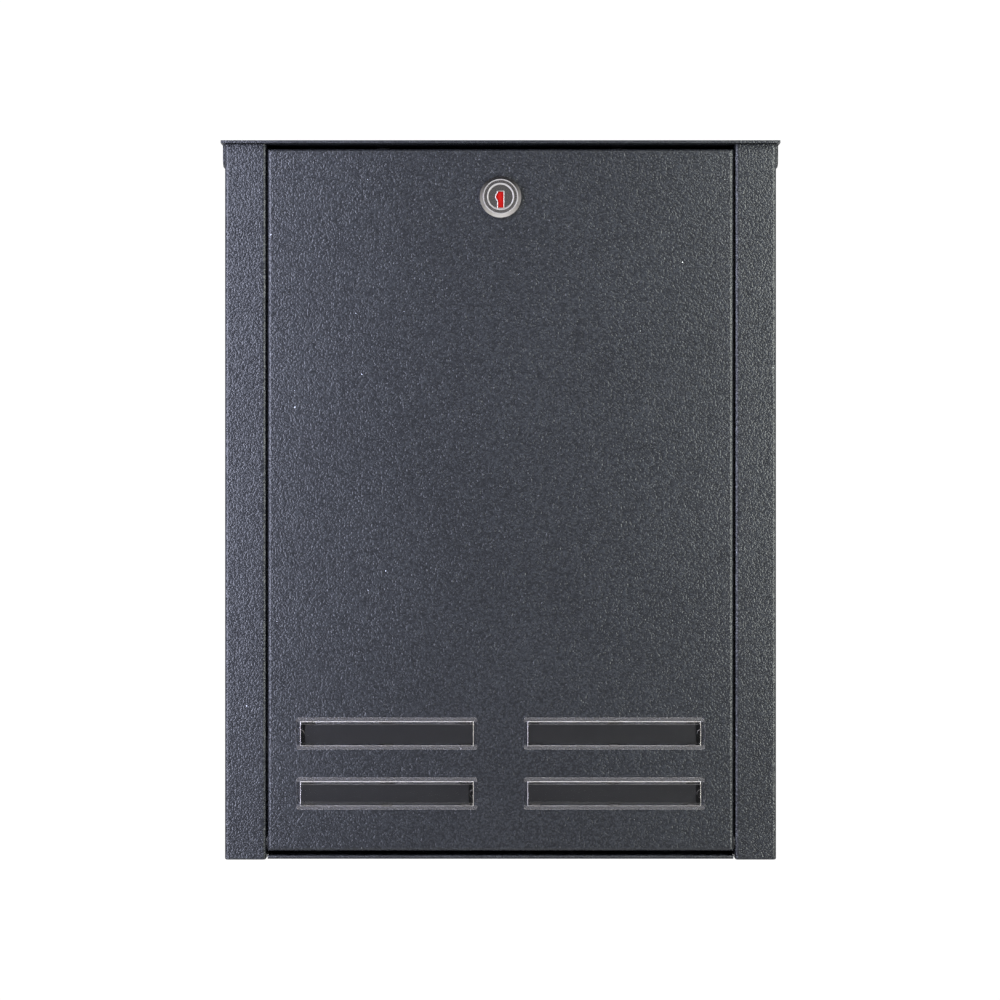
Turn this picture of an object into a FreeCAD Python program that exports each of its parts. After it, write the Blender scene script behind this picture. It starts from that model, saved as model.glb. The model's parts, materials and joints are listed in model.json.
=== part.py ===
"""Wall mounted mailbox in folded sheet steel, as a parametric FreeCAD document.

Letters go in under a lid that is hinged at the rear of the top. They come out through a front
door that drops forward on two pins near its lower edge and is locked by a cam lock at its top.

Frame, in millimetres: the origin is the centre of the four wall holes, on the wall plane.
+X is to the right of somebody who faces the box, +Y goes into the wall and +Z is up, so the
whole box lies at negative Y.
"""

import FreeCAD, Part

import os

import Sketcher

# ---------------------------------------------------------------- driving dimensions, millimetres
DIMENSIONS = {
    # cabinet
    "body_width": 310.0,
    "body_height": 402.0,
    "body_depth": 140.0,
    "gauge": 1.0,
    "bend_radius": 1.0,
    "post_width": 23.2,
    "jamb_depth": 14.0,
    "weld_fit": 0.2,
    "wall_hole_pitch_x": 220.0,
    "wall_hole_pitch_z": 300.0,
    "wall_hole_radius": 3.25,
    # floor of the cabinet
    "floor_rise": 0.4,
    "floor_flange": 10.0,
    "floor_hem": 8.0,
    "front_setback": 0.3,
    "floor_side_gap": 0.9,
    "drain_radius": 2.5,
    "drain_inset": 24.0,
    # rail behind the door's top edge
    "rail_drop": 1.6,
    "rail_height": 15.4,
    "rail_depth": 14.0,
    "rail_lip": 7.0,
    # lid and the fixed strip behind it
    "lid_gauge": 1.5,
    "lid_bend_radius": 0.4,
    "lid_gap": 0.4,
    "lid_side_gap": 0.5,
    "lid_overhang": 4.0,
    "lid_flange": 11.6,
    "lid_flange_setback": 10.0,
    "lid_corner_radius": 5.0,
    "lid_relief": 1.2,
    "shelf_depth": 22.0,
    # piano hinge of the lid
    "leaf_gauge": 1.0,
    "leaf_width": 14.0,
    "rod_radius": 1.0,
    "rod_fit": 0.05,
    "hinge_end_gap": 5.0,
    "knuckle_gap": 0.3,
    "hinge_air": 0.3,
    # door
    "door_side_gap": 0.9,
    "door_top_drop": 2.5,
    "door_bottom_gap": 2.5,
    "pin_radius": 2.0,
    "pin_fit": 0.06,
    "pin_head_lap": 1.1,
    "pin_head": 1.2,
    "pin_air": 0.3,
    "bush_wall": 0.9,
    "bush_land": 0.04,
    "bush_collar": 0.6,
    "bush_collar_width": 1.2,
    # rubber pads
    "pad_room": 2.0,
    "pad_radius": 4.0,
    "pad_dome": 0.3,
    "pad_air": 0.35,
    "pad_inset": 65.0,
    # lock
    "lock_drop": 27.1,
    "plug_head_radius": 7.7,
    "plug_head": 2.0,
    "plug_recess": 0.4,
    "plug_rim": 1.0,
    "plug_rim_proud": 0.35,
    "plug_rim_slope": 0.4,
    "plug_step": 0.3,
    "plug_fit": 0.05,
    "plug_tail_width": 7.0,
    "plug_tail_round": 0.6,
    "bezel_lip": 0.45,
    "bezel_track": 1.15,
    "bezel_rim": 0.5,
    "bezel_slope": 1.85,
    "bezel_height": 3.2,
    "bezel_side": 1.6,
    "bezel_track_depth": 0.5,
    "bezel_tick_count": 48.0,
    "bezel_tick_width": 0.35,
    "bezel_tick_depth": 0.25,
    "barrel_wall": 2.0,
    "barrel_flat_depth": 1.3,
    "punch_fit": 0.15,
    "cam_rail_gap": 0.5,
    "cam_rail_air": 3.0,
    "cam_gauge": 2.0,
    "cam_width": 14.0,
    "cam_tip_radius": 4.2,
    "cam_hub_radius": 8.6,
    "cam_fit": 0.1,
    "nut_wall": 1.6,
    "nut_height": 4.0,
    "tooth_washer_width": 3.2,
    "tooth_washer_gauge": 0.8,
    "tooth_depth": 1.2,
    "tooth_gap": 0.8,
    "tooth_count": 16.0,
    "screw_radius": 2.0,
    "screw_head_radius": 4.0,
    "screw_head": 2.4,
    "screw_head_round": 1.2,
    "screw_recess_width": 0.96,
    "screw_recess_depth": 1.44,
    "screw_reach": 5.5,
    "screw_bottom_gap": 0.3,
    "screw_washer_radius": 5.2,
    "screw_washer_gauge": 0.8,
    # keyway, dust shutter and wafers
    "keyway_left": 1.5,
    "keyway_right": 1.7,
    "keyway_up": 2.9,
    "keyway_down": 6.3,
    "keyway_bulge": 2.6,
    "chamber_wall": 0.8,
    "chamber_left": 3.0,
    "chamber_right": 2.95,
    "chamber_margin": 0.2,
    "chamber_depth": 6.2,
    "shutter_gauge": 0.5,
    "shutter_pin_radius": 0.4,
    "shutter_pin_end": 0.4,
    "shutter_wall": 0.25,
    "shutter_fit": 0.05,
    "wafer_gauge": 0.8,
    "wafer_pitch": 1.5,
    "wafer_width": 5.2,
    "wafer_window": 2.8,
    "wafer_window_down": 4.7,
    "wafer_fit": 0.05,
    # name plates
    "name_width": 101.4,
    "name_height": 17.8,
    "name_column": 63.8,
    "name_pitch": 33.7,
    "name_bottom": 32.4,
    "name_rim": 1.0,
    "name_proud": 2.6,
    "name_crown": 0.45,
    "name_border": 2.0,
    "name_edge_radius": 0.5,
    "name_corner_radius": 1.3,
    "name_skin": 1.2,
    "name_lap_x": 2.0,
    "name_lap_z": 3.6,
    "name_scoop": 2.3,
    "name_nib": 7.0,
    "name_nib_proud": 0.5,
    "name_nib_radius": 0.4,
    "name_nib_root": 1.0,
    "name_hook_width": 5.4,
    "name_hook_pitch": 44.1,
    "name_notch_flare": 1.1,
    "name_hook": 1.0,
    "name_barb": 0.8,
    "name_fit": 0.3,
    "backing_gauge": 1.5,
}

HINGE_KNUCKLES = 15  # along the lid's hinge, odd ones on the cabinet
WAFERS = 5  # disc tumblers in the lock
PLATES = ("upper_left", "upper_right", "lower_left", "lower_right")

Vector = FreeCAD.Vector
doc = FreeCAD.newDocument("mailbox")


# ---------------------------------------------------------------- sizes as expressions
class Size:
    """A length with its expression on the sheet's cells, for setExpression, and its value."""

    def __init__(self, text, value):
        self.text = text
        self.value = float(value)

    def _join(self, other, sign, result, swapped=False):
        other_text = other.text if isinstance(other, Size) else f"{other:g}"
        first, second = (other_text, self.text) if swapped else (self.text, other_text)
        return Size(f"({first} {sign} {second})", result)

    def __add__(self, other):
        return self._join(other, "+", self.value + number(other))

    __radd__ = __add__

    def __sub__(self, other):
        return self._join(other, "-", self.value - number(other))

    def __rsub__(self, other):
        return self._join(other, "-", number(other) - self.value, swapped=True)

    def __mul__(self, other):
        return self._join(other, "*", self.value * number(other))

    __rmul__ = __mul__

    def __truediv__(self, other):
        return self._join(other, "/", self.value / number(other))

    def __neg__(self):
        return Size(f"(-1 * {self.text})", -self.value)


def number(size):
    return size.value if isinstance(size, Size) else float(size)


def text(size):
    return size.text if isinstance(size, Size) else f"{size:g}"


def make_sheet():
    """The spreadsheet of driving dimensions. Gives back each one as a Size under its own name."""
    sheet = doc.addObject("Spreadsheet::Sheet", "dims")
    for row, (name, value) in enumerate(DIMENSIONS.items(), start=1):
        sheet.set(f"A{row}", name)
        sheet.set(f"B{row}", str(value))
        sheet.setAlias(f"B{row}", name)
    doc.recompute()
    return {name: Size(f"dims.{name}", sheet.get(name)) for name in DIMENSIONS}


d = make_sheet()

# ---------------------------------------------------------------- places that several pieces share
half_width = d["body_width"] / 2
top = d["body_height"] / 2
bottom = -top
front = -d["body_depth"]
bend_outside = d["bend_radius"] + d["gauge"]

jamb_x = half_width - d["post_width"]  # the face of each post's return, towards the door
jamb_y = front + d["jamb_depth"]
floor_under = bottom + d["floor_rise"]
floor_top = floor_under + 2 * d["gauge"]

lid_under = top + d["lid_gap"]
lid_top = lid_under + d["lid_gauge"]
lid_half = half_width + d["lid_side_gap"] + d["lid_gauge"]
lid_hem_z = lid_under - d["lid_flange"]
knuckle_radius = d["rod_radius"] + d["rod_fit"] + d["leaf_gauge"]
hinge_y = -(d["shelf_depth"] + knuckle_radius + d["hinge_air"])
hinge_z = top - d["leaf_gauge"] + knuckle_radius
lid_rear = hinge_y - knuckle_radius - d["hinge_air"]
hinge_length = d["body_width"] - 2 * d["gauge"] - 2 * d["hinge_end_gap"]

rail_top = top - d["rail_drop"]
rail_bottom = rail_top - d["rail_height"]

door_half = jamb_x - d["door_side_gap"]
door_top = top - d["door_top_drop"]
door_bottom = floor_top + d["door_bottom_gap"]
door_back = jamb_y - d["pad_room"]
door_inside = front + d["gauge"]
bush_radius = d["pin_radius"] + d["pin_fit"] + d["bush_wall"]
pivot_inset = bend_outside + bush_radius + d["bush_land"]
pivot_y = front + pivot_inset
pivot_z = door_bottom + pivot_inset

lock_z = door_top - d["lock_drop"]
bezel_front = front - d["bezel_height"]
plug_face = bezel_front + d["plug_recess"]
lip_radius = d["plug_head_radius"] + d["bezel_lip"]
track_radius = lip_radius + d["bezel_track"]
rim_radius = track_radius + d["bezel_rim"]
bezel_radius = rim_radius + d["bezel_slope"]
shank_radius = d["plug_head_radius"] - d["plug_step"]
barrel_radius = shank_radius + d["barrel_wall"]
half_flats = barrel_radius - d["barrel_flat_depth"]
tooth_washer_radius = barrel_radius + d["tooth_washer_width"]
barrel_end = jamb_y + d["gauge"] + d["cam_rail_gap"]
barrel_length = barrel_end - front
cam_front = barrel_end + d["cam_fit"]
cam_back = cam_front + d["cam_gauge"]
cam_reach = rail_top - d["gauge"] - d["cam_rail_air"] - lock_z
chamber_front = plug_face + d["chamber_wall"]
chamber_back = chamber_front + d["chamber_depth"]
chamber_up = d["keyway_up"] + d["chamber_margin"]
chamber_down = d["keyway_down"] + d["chamber_margin"]
shutter_knuckle = d["shutter_pin_radius"] + d["shutter_fit"] + d["shutter_wall"]
shutter_x = d["chamber_right"] - shutter_knuckle - d["shutter_fit"]
shutter_y = chamber_front + shutter_knuckle + d["shutter_fit"]
wafer_front = chamber_back + d["wafer_gauge"]

slot_width = d["name_width"] - 2 * d["name_lap_x"]
slot_height = d["name_height"] - 2 * d["name_lap_z"]
hook_outer = slot_height / 2 + d["name_hook"]
hook_notch = hook_outer + d["name_barb"] + d["name_fit"]

AXES = {"XY": (0, 1, 2), "XZ": (0, 2, 1), "YZ": (1, 2, 0)}
NORMAL = {"XY": 1, "XZ": -1, "YZ": 1}  # the sketch's normal along its global axis


# ---------------------------------------------------------------- small tools for bodies and sketches
def new_body(label):
    body = doc.addObject("PartDesign::Body", label)
    body.Label = label
    return body


def origin_feature(body, role):
    return next(f for f in body.Origin.OriginFeatures if f.Role == role)


def new_sketch(body, plane, at=0):
    """A sketch on one of the body's planes, moved to the global coordinate at along its normal."""
    sketch = body.newObject("Sketcher::SketchObject", f"{body.Name}_sketch")
    sketch.AttachmentSupport = [(origin_feature(body, f"{plane}_Plane"), "")]
    sketch.MapMode = "FlatFace"
    if number(at):
        sketch.setExpression("AttachmentOffset.Base.z", text(at * NORMAL[plane]))
    return sketch


def constrain(sketch, kind, arguments, size):
    """Adds a dimension to the sketch and binds it to the sheet."""
    index = sketch.addConstraint(Sketcher.Constraint(kind, *arguments, number(size)))
    name = f"size_{index}"
    sketch.renameConstraint(index, name)
    if isinstance(size, Size):
        sketch.setExpression(f".Constraints.{name}", size.text)


def fix_point(sketch, geometry, end, point):
    constrain(sketch, "DistanceX", (-1, 1, geometry, end), point[0])
    constrain(sketch, "DistanceY", (-1, 1, geometry, end), point[1])


def along(start, end):
    """The unit step from one corner to the next, for edges that run along an axis."""
    dx, dy = number(end[0]) - number(start[0]), number(end[1]) - number(start[1])
    return (round(dx / abs(dx)), 0) if abs(dx) > abs(dy) else (0, round(dy / abs(dy)))


def shifted(point, step, distance):
    return tuple(p + distance * s if s else p for p, s in zip(point, step))


def draw_outline(sketch, corners):
    """A closed outline. Each corner is (x, y) or (x, y, radius), and a rounded one is square."""
    runs = []
    for i, corner in enumerate(corners):
        point = corner[:2]
        if len(corner) == 2:
            runs.append((point, point, None))
            continue
        before = along(corners[i - 1], corner)
        after = along(corner, corners[(i + 1) % len(corners)])
        first = shifted(point, [-s for s in before], corner[2])
        second = shifted(point, after, corner[2])
        centre = shifted(first, after, corner[2])
        runs.append((first, second, (corner[2], centre, before, after)))
    lines = []
    for i, (_, start, _) in enumerate(runs):
        end = runs[(i + 1) % len(runs)][0]
        line = Part.LineSegment(flat(start), flat(end))
        lines.append(sketch.addGeometry(line))
        fix_point(sketch, lines[-1], 1, start)
        if runs[(i + 1) % len(runs)][2]:
            fix_point(sketch, lines[-1], 2, end)
    for i, (first, second, bend) in enumerate(runs):
        if not bend:
            sketch.addConstraint(Sketcher.Constraint("Coincident", lines[i - 1], 2, lines[i], 1))
            continue
        radius, centre, before, after = bend
        middle = flat(centre) + Vector(
            before[0] - after[0], before[1] - after[1], 0
        ) * (number(radius) / 2**0.5)
        arc = sketch.addGeometry(Part.Arc(flat(first), middle, flat(second)))
        turns_left = before[0] * after[1] - before[1] * after[0] > 0
        near, far = (1, 2) if turns_left else (2, 1)
        sketch.addConstraint(Sketcher.Constraint("Coincident", lines[i - 1], 2, arc, near))
        sketch.addConstraint(Sketcher.Constraint("Coincident", arc, far, lines[i], 1))
        constrain(sketch, "Radius", (arc,), radius)


def flat(point):
    return Vector(number(point[0]), number(point[1]), 0)


def draw_rectangle(sketch, low, high, radius=None):
    corners = [(low[0], low[1]), (high[0], low[1]), (high[0], high[1]), (low[0], high[1])]
    draw_outline(sketch, [c + (radius,) if radius is not None else c for c in corners])


def draw_folded(sketch, path, gauge, bend_radius, side):
    """The section of a folded sheet. path is one face, and the sheet lies to its left if side is 1."""
    steps = [along(a, b) for a, b in zip(path, path[1:])]
    face, back = [path[0]], []
    normals = [(-side * s[1], side * s[0]) for s in steps]
    back.append(shifted(path[0], normals[0], gauge))
    for i, corner in enumerate(path[1:-1], start=1):
        before, after = steps[i - 1], steps[i]
        inward = before[0] * after[1] - before[1] * after[0] == side
        face_radius = bend_radius + gauge if inward else bend_radius
        back_radius = bend_radius if inward else bend_radius + gauge
        other = shifted(shifted(corner, normals[i - 1], gauge), normals[i], gauge)
        face.append(corner + (face_radius,))
        back.append(other + (back_radius,))
    face.append(path[-1])
    back.append(shifted(path[-1], normals[-1], gauge))
    draw_outline(sketch, face + back[::-1])


def draw_circle(sketch, centre, radius):
    circle = sketch.addGeometry(Part.Circle(flat(centre), Vector(0, 0, 1), number(radius)))
    fix_point(sketch, circle, 3, centre)
    constrain(sketch, "Radius", (circle,), radius)


def finish(body, feature, what):
    doc.recompute()
    if feature.State != ["Up-to-date"] or not body.Shape.isValid():
        raise RuntimeError(f"{body.Label}: {what} failed")
    return feature


def pad(body, sketch, length, towards=1, both_ways=False):
    """Adds the sketch's area, length long, along its global axis or evenly to both sides of it."""
    plane = sketch.AttachmentSupport[0][0].Role[:2]
    feature = body.newObject("PartDesign::Pad", f"{body.Name}_pad")
    feature.Profile = sketch
    feature.setExpression("Length", text(length))
    feature.Midplane = both_ways
    feature.Reversed = not both_ways and towards != NORMAL[plane]
    return finish(body, feature, "pad")


def pocket(body, sketch, length, towards=1, both_ways=False):
    """Cuts the sketch's area out, and stops the build if that took nothing away."""
    plane = sketch.AttachmentSupport[0][0].Role[:2]
    volume = body.Shape.Volume
    feature = body.newObject("PartDesign::Pocket", f"{body.Name}_pocket")
    feature.Profile = sketch
    feature.setExpression("Length", text(length))
    feature.Midplane = both_ways
    feature.Reversed = not both_ways and towards == NORMAL[plane]
    finish(body, feature, "pocket")
    if body.Shape.Volume >= volume:
        raise RuntimeError(f"{body.Label}: a pocket cut nothing")
    return feature


def turn(body, sketch, role):
    """A full revolution of the sketch about one of the body's own axes."""
    feature = body.newObject("PartDesign::Revolution", f"{body.Name}_turned")
    feature.Profile = sketch
    feature.ReferenceAxis = (origin_feature(body, f"{role}_Axis"), [""])
    feature.Angle = 360
    return finish(body, feature, "revolution")


def mirrored(body, features, plane):
    feature = body.newObject("PartDesign::Mirrored", f"{body.Name}_mirrored")
    feature.Originals = features
    feature.MirrorPlane = (origin_feature(body, f"{plane}_Plane"), [""])
    body.Tip = feature
    return finish(body, feature, "mirror")


def in_line(body, features, role, length, count):
    """Repeats features along one of the body's axes; length is from the first to the last."""
    feature = body.newObject("PartDesign::LinearPattern", f"{body.Name}_row")
    feature.Originals = features
    feature.Direction = (origin_feature(body, f"{role}_Axis"), [""])
    feature.setExpression("Length", text(length))
    feature.Occurrences = count
    body.Tip = feature
    return finish(body, feature, "row")


def around(body, features, role, count):
    feature = body.newObject("PartDesign::PolarPattern", f"{body.Name}_ring")
    feature.Originals = features
    feature.Axis = (origin_feature(body, f"{role}_Axis"), [""])
    feature.Angle = 360
    feature.setExpression("Occurrences", text(count))
    body.Tip = feature
    return finish(body, feature, "ring")


def edges_where(feature, wanted):
    shape = feature.Shape
    return [f"Edge{i}" for i, edge in enumerate(shape.Edges, start=1) if wanted(edge)]


def fillet(body, feature, radius, wanted):
    rounded = body.newObject("PartDesign::Fillet", f"{body.Name}_fillet")
    rounded.Base = (feature, edges_where(feature, wanted))
    rounded.setExpression("Radius", text(radius))
    return finish(body, rounded, "fillet")


def place(thing, x=0, y=0, z=0):
    for axis, value in zip("xyz", (x, y, z)):
        thing.setExpression(f"Placement.Base.{axis}", text(value))


def runs_along(edge, axis):
    """True for a straight edge along the global axis 0, 1 or 2."""
    if not isinstance(edge.Curve, (Part.Line, Part.LineSegment)):
        return False
    return abs(abs(edge.tangentAt(edge.FirstParameter)[axis]) - 1) < 1e-6


def lies_at(edge, axis, value):
    box = edge.BoundBox
    low, high = ((box.XMin, box.XMax), (box.YMin, box.YMax), (box.ZMin, box.ZMax))[axis]
    return abs(low - number(value)) < 1e-4 and abs(high - number(value)) < 1e-4


# ---------------------------------------------------------------- cabinet
def make_body_shell():
    """Back, sides, front posts and their returns, folded from one sheet."""
    body = new_body("body_shell")
    section = new_sketch(body, "XY", bottom)
    path = [
        (jamb_x, jamb_y),
        (jamb_x, front),
        (half_width, front),
        (half_width, 0),
        (-half_width, 0),
        (-half_width, front),
        (-jamb_x, front),
        (-jamb_x, jamb_y),
    ]
    draw_folded(section, path, d["gauge"], d["bend_radius"], side=1)
    folded = pad(body, section, d["body_height"])

    def lower_outer_edge(edge):
        at_side = lies_at(edge, 0, half_width) or lies_at(edge, 0, -half_width)
        return at_side and lies_at(edge, 2, bottom)

    fillet(body, folded, d["gauge"] * 0.9, lower_outer_edge)
    holes = new_sketch(body, "XZ", -d["gauge"] / 2)
    for x in (-1, 1):
        for z in (-1, 1):
            centre = (x * d["wall_hole_pitch_x"] / 2, z * d["wall_hole_pitch_z"] / 2)
            draw_circle(holes, centre, d["wall_hole_radius"])
    pocket(body, holes, d["gauge"] * 2, both_ways=True)
    pin_hole = new_sketch(body, "YZ", jamb_x + d["gauge"] / 2)
    draw_circle(pin_hole, (pivot_y, pivot_z), d["pin_radius"])
    cut = pocket(body, pin_hole, d["gauge"] * 2, both_ways=True)
    mirrored(body, [cut], "YZ")


def make_bottom_panel():
    """The cabinet's floor, with flanges up at the sides and back and a hem at its front edge."""
    body = new_body("bottom_panel")
    side_x = half_width - d["gauge"]
    back_y = -d["gauge"]
    front_y = front + d["front_setback"]
    sheet_under = floor_under + d["gauge"]
    flange_top = floor_top + d["floor_flange"]
    wide_front = jamb_y + d["weld_fit"]
    corner = d["bend_radius"] + d["weld_fit"]  # keeps out of the shell's rear bends

    trough = new_sketch(body, "XZ", back_y - corner)
    path = [(-side_x, flange_top), (-side_x, sheet_under), (side_x, sheet_under), (side_x, flange_top)]
    draw_folded(trough, path, d["gauge"], d["bend_radius"], side=1)
    pad(body, trough, back_y - corner - wide_front, towards=-1)

    back = new_sketch(body, "YZ")
    path = [(wide_front, sheet_under), (back_y, sheet_under), (back_y, flange_top)]
    draw_folded(back, path, d["gauge"], d["bend_radius"], side=1)
    pad(body, back, 2 * side_x - 2 * corner, both_ways=True)

    tongue_width = 2 * jamb_x - 2 * d["floor_side_gap"]
    tongue = new_sketch(body, "XY", sheet_under)
    half_tongue = tongue_width / 2
    draw_rectangle(tongue, (-half_tongue, front_y + d["gauge"]), (half_tongue, wide_front + d["gauge"]))
    pad(body, tongue, d["gauge"])

    hem = new_sketch(body, "YZ")
    rounding = d["gauge"] * 0.98
    draw_outline(
        hem,
        [
            (front_y + d["floor_hem"], floor_under),
            (front_y + d["floor_hem"], floor_top),
            (front_y, floor_top, rounding),
            (front_y, floor_under, rounding),
        ],
    )
    pad(body, hem, tongue_width, both_ways=True)

    drains = new_sketch(body, "XY", sheet_under)
    for x in (-1, 1):
        for y in (front + d["drain_inset"], -d["drain_inset"]):
            draw_circle(drains, (x * (half_width - 2 * d["drain_inset"]), y), d["drain_radius"])
    pocket(body, drains, d["gauge"] * 4, both_ways=True)


def make_front_top_rail():
    """The channel between the posts' returns that the cam locks behind and the lid rests over."""
    body = new_body("front_top_rail")
    section = new_sketch(body, "YZ")
    back_y = jamb_y + d["rail_depth"]
    path = [
        (jamb_y, rail_bottom),
        (jamb_y, rail_top),
        (back_y, rail_top),
        (back_y, rail_top - d["rail_lip"]),
    ]
    draw_folded(section, path, d["gauge"], d["bend_radius"], side=-1)
    pad(body, section, d["body_width"] - 2 * d["gauge"], both_ways=True)


def draw_cover_section(sketch, under):
    """The section that the lid and the fixed strip share: a top with a flange down each side."""
    over = under + d["lid_gauge"]
    path = [(lid_half, lid_hem_z), (lid_half, over), (-lid_half, over), (-lid_half, lid_hem_z)]
    draw_folded(sketch, path, d["lid_gauge"], d["lid_bend_radius"], side=1)


def make_rear_top_panel():
    """The fixed strip along the back of the top that carries the lid's hinge."""
    body = new_body("rear_top_panel")
    section = new_sketch(body, "XZ")
    draw_cover_section(section, top)
    pad(body, section, d["shelf_depth"], towards=-1)


def make_lid_panel():
    body = new_body("lid_panel")
    flange_front = front + d["lid_flange_setback"]
    lip_front = front - d["lid_overhang"]
    section = new_sketch(body, "XZ", lid_rear)
    draw_cover_section(section, lid_under)
    folded = pad(body, section, lid_rear - flange_front, towards=-1)

    def lower_front_corner(edge):
        at_front = lies_at(edge, 1, flange_front)
        return at_front and lies_at(edge, 2, lid_hem_z) and runs_along(edge, 0)

    fillet(body, folded, d["lid_corner_radius"], lower_front_corner)
    plate = new_sketch(body, "XY", lid_under)
    relief_y = flange_front - d["lid_relief"]
    inner_x = half_width - d["gauge"]
    draw_outline(
        plate,
        [
            (-inner_x, flange_front + d["gauge"]),
            (-inner_x, relief_y),
            (-lid_half, relief_y),
            (-lid_half, lip_front, d["bend_radius"]),
            (lid_half, lip_front, d["bend_radius"]),
            (lid_half, relief_y),
            (inner_x, relief_y),
            (inner_x, flange_front + d["gauge"]),
        ],
    )
    pad(body, plate, d["lid_gauge"])


# ---------------------------------------------------------------- the lid's piano hinge
def make_hinge_leaf(label, leaf_top, towards, first, count):
    """A leaf with its knuckles. towards is 1 for the leaf that runs back and -1 for the lid's."""
    body = new_body(label)
    half = hinge_length / 2
    clear = knuckle_radius + d["hinge_air"]
    plate_start = hinge_y + towards * clear
    plate_end = plate_start + towards * d["leaf_width"]
    leaf_under = leaf_top - d["leaf_gauge"]
    low, high = sorted((plate_start, plate_end), key=number)
    plate = new_sketch(body, "XY", leaf_under)
    draw_rectangle(plate, (-half, low), (half, high))
    pad(body, plate, d["leaf_gauge"])

    pitch = hinge_length / HINGE_KNUCKLES
    start_x = -half + first * pitch + d["knuckle_gap"] / 2
    length = pitch - d["knuckle_gap"]
    bore_radius = d["rod_radius"] + d["rod_fit"]
    bridge = new_sketch(body, "YZ", start_x)
    near, far = sorted((hinge_y, plate_start + towards * d["leaf_gauge"]), key=number)
    draw_rectangle(bridge, (near, leaf_under), (far, leaf_top))
    web = pad(body, bridge, length)
    barrel = new_sketch(body, "YZ", start_x)
    draw_circle(barrel, (hinge_y, hinge_z), knuckle_radius)
    knuckle = pad(body, barrel, length)
    in_line(body, [web, knuckle], "X", pitch * 2 * (count - 1), count)
    bore = new_sketch(body, "YZ")
    draw_circle(bore, (hinge_y, hinge_z), bore_radius)
    pocket(body, bore, hinge_length * 2, both_ways=True)


def make_hinge_rod():
    body = new_body("hinge_rod")
    section = new_sketch(body, "YZ")
    draw_circle(section, (hinge_y, hinge_z), d["rod_radius"])
    rod = pad(body, section, hinge_length + d["hinge_end_gap"], both_ways=True)
    chamfer = body.newObject("PartDesign::Chamfer", "hinge_rod_chamfer")
    chamfer.Base = (rod, edges_where(rod, lambda edge: not runs_along(edge, 0)))
    chamfer.setExpression("Size", text(d["rod_radius"] * 0.3))
    finish(body, chamfer, "chamfer")


# ---------------------------------------------------------------- door
def make_door_panel():
    """A shallow tray: the front sheet with its four edges folded back."""
    body = new_body("door_panel")
    block = new_sketch(body, "XZ", front)
    draw_rectangle(block, (-door_half, door_bottom), (door_half, door_top))
    solid = pad(body, block, door_back - front)
    rounded = fillet(body, solid, bend_outside, lambda edge: lies_at(edge, 1, front))
    tray = body.newObject("PartDesign::Thickness", "door_panel_tray")
    shape = rounded.Shape
    open_face = max(range(len(shape.Faces)), key=lambda i: shape.Faces[i].CenterOfMass.y)
    tray.Base = (rounded, [f"Face{open_face + 1}"])
    tray.setExpression("Value", text(d["gauge"]))
    tray.Reversed = True
    finish(body, tray, "tray")

    punch = new_sketch(body, "XZ", door_inside)
    draw_double_flat(punch, lock_z, barrel_radius + d["punch_fit"], half_flats + d["punch_fit"])
    pocket(body, punch, d["gauge"] * 4, both_ways=True)

    windows = new_sketch(body, "XZ", door_inside)
    for name in PLATES:
        draw_name_window(windows, *plate_centre(name))
    pocket(body, windows, d["gauge"] * 4, both_ways=True)

    pin_hole = new_sketch(body, "YZ", door_half - d["gauge"] / 2)
    draw_circle(pin_hole, (pivot_y, pivot_z), bush_radius)
    cut = pocket(body, pin_hole, d["gauge"] * 2, both_ways=True)
    mirrored(body, [cut], "YZ")


def draw_double_flat(sketch, centre_z, radius, half_x):
    """A circle with two upright flats, as punched so that a lock can't turn in its hole."""
    half_z = (radius.value**2 - half_x.value**2) ** 0.5
    z = centre_z.value
    corners = [
        Vector(half_x.value, z - half_z, 0),
        Vector(half_x.value, z + half_z, 0),
        Vector(-half_x.value, z + half_z, 0),
        Vector(-half_x.value, z - half_z, 0),
    ]
    crown = Vector(0, z + radius.value, 0)
    foot = Vector(0, z - radius.value, 0)
    right = sketch.addGeometry(Part.LineSegment(corners[0], corners[1]))
    upper = sketch.addGeometry(Part.Arc(corners[1], crown, corners[2]))
    left = sketch.addGeometry(Part.LineSegment(corners[2], corners[3]))
    lower = sketch.addGeometry(Part.Arc(corners[3], foot, corners[0]))
    for first, first_end, second, second_end in (
        (right, 2, upper, 1),
        (upper, 2, left, 1),
        (left, 2, lower, 1),
        (lower, 2, right, 1),
    ):
        joint = Sketcher.Constraint("Coincident", first, first_end, second, second_end)
        sketch.addConstraint(joint)
    sketch.addConstraint(Sketcher.Constraint("Coincident", upper, 3, lower, 3))
    sketch.addConstraint(Sketcher.Constraint("Vertical", right))
    sketch.addConstraint(Sketcher.Constraint("Vertical", left))
    fix_point(sketch, upper, 3, (0, centre_z))
    constrain(sketch, "Radius", (upper,), radius)
    constrain(sketch, "Radius", (lower,), radius)
    constrain(sketch, "DistanceX", (-1, 1, right, 1), half_x)
    constrain(sketch, "DistanceX", (-1, 1, left, 1), -half_x)


def plate_centre(name):
    """The middle of a name plate on the door's front, as x and z."""
    column = d["name_column"] if name.endswith("right") else -d["name_column"]
    row = door_bottom + d["name_bottom"]
    return column, row + d["name_pitch"] if name.startswith("upper") else row


def draw_name_window(sketch, x, z):
    """One window in the door with a flared notch at each hook of the cover that clips into it."""
    half_x, half_z = slot_width / 2, slot_height / 2
    notch = d["name_hook_width"] / 2 + d["name_fit"]
    mouth = notch + d["name_notch_flare"]
    corners = []
    for sign in (-1, 1):
        corners.append((x + sign * half_x, z + sign * half_z))
        for step in (1, 0, -1):
            middle = x + sign * step * d["name_hook_pitch"]
            for side, height, half in (
                (1, half_z, mouth),
                (1, hook_notch, notch),
                (-1, hook_notch, notch),
                (-1, half_z, mouth),
            ):
                corners.append((middle + sign * side * half, z + sign * height))
        corners.append((x - sign * half_x, z + sign * half_z))
    draw_outline(sketch, corners)


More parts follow.
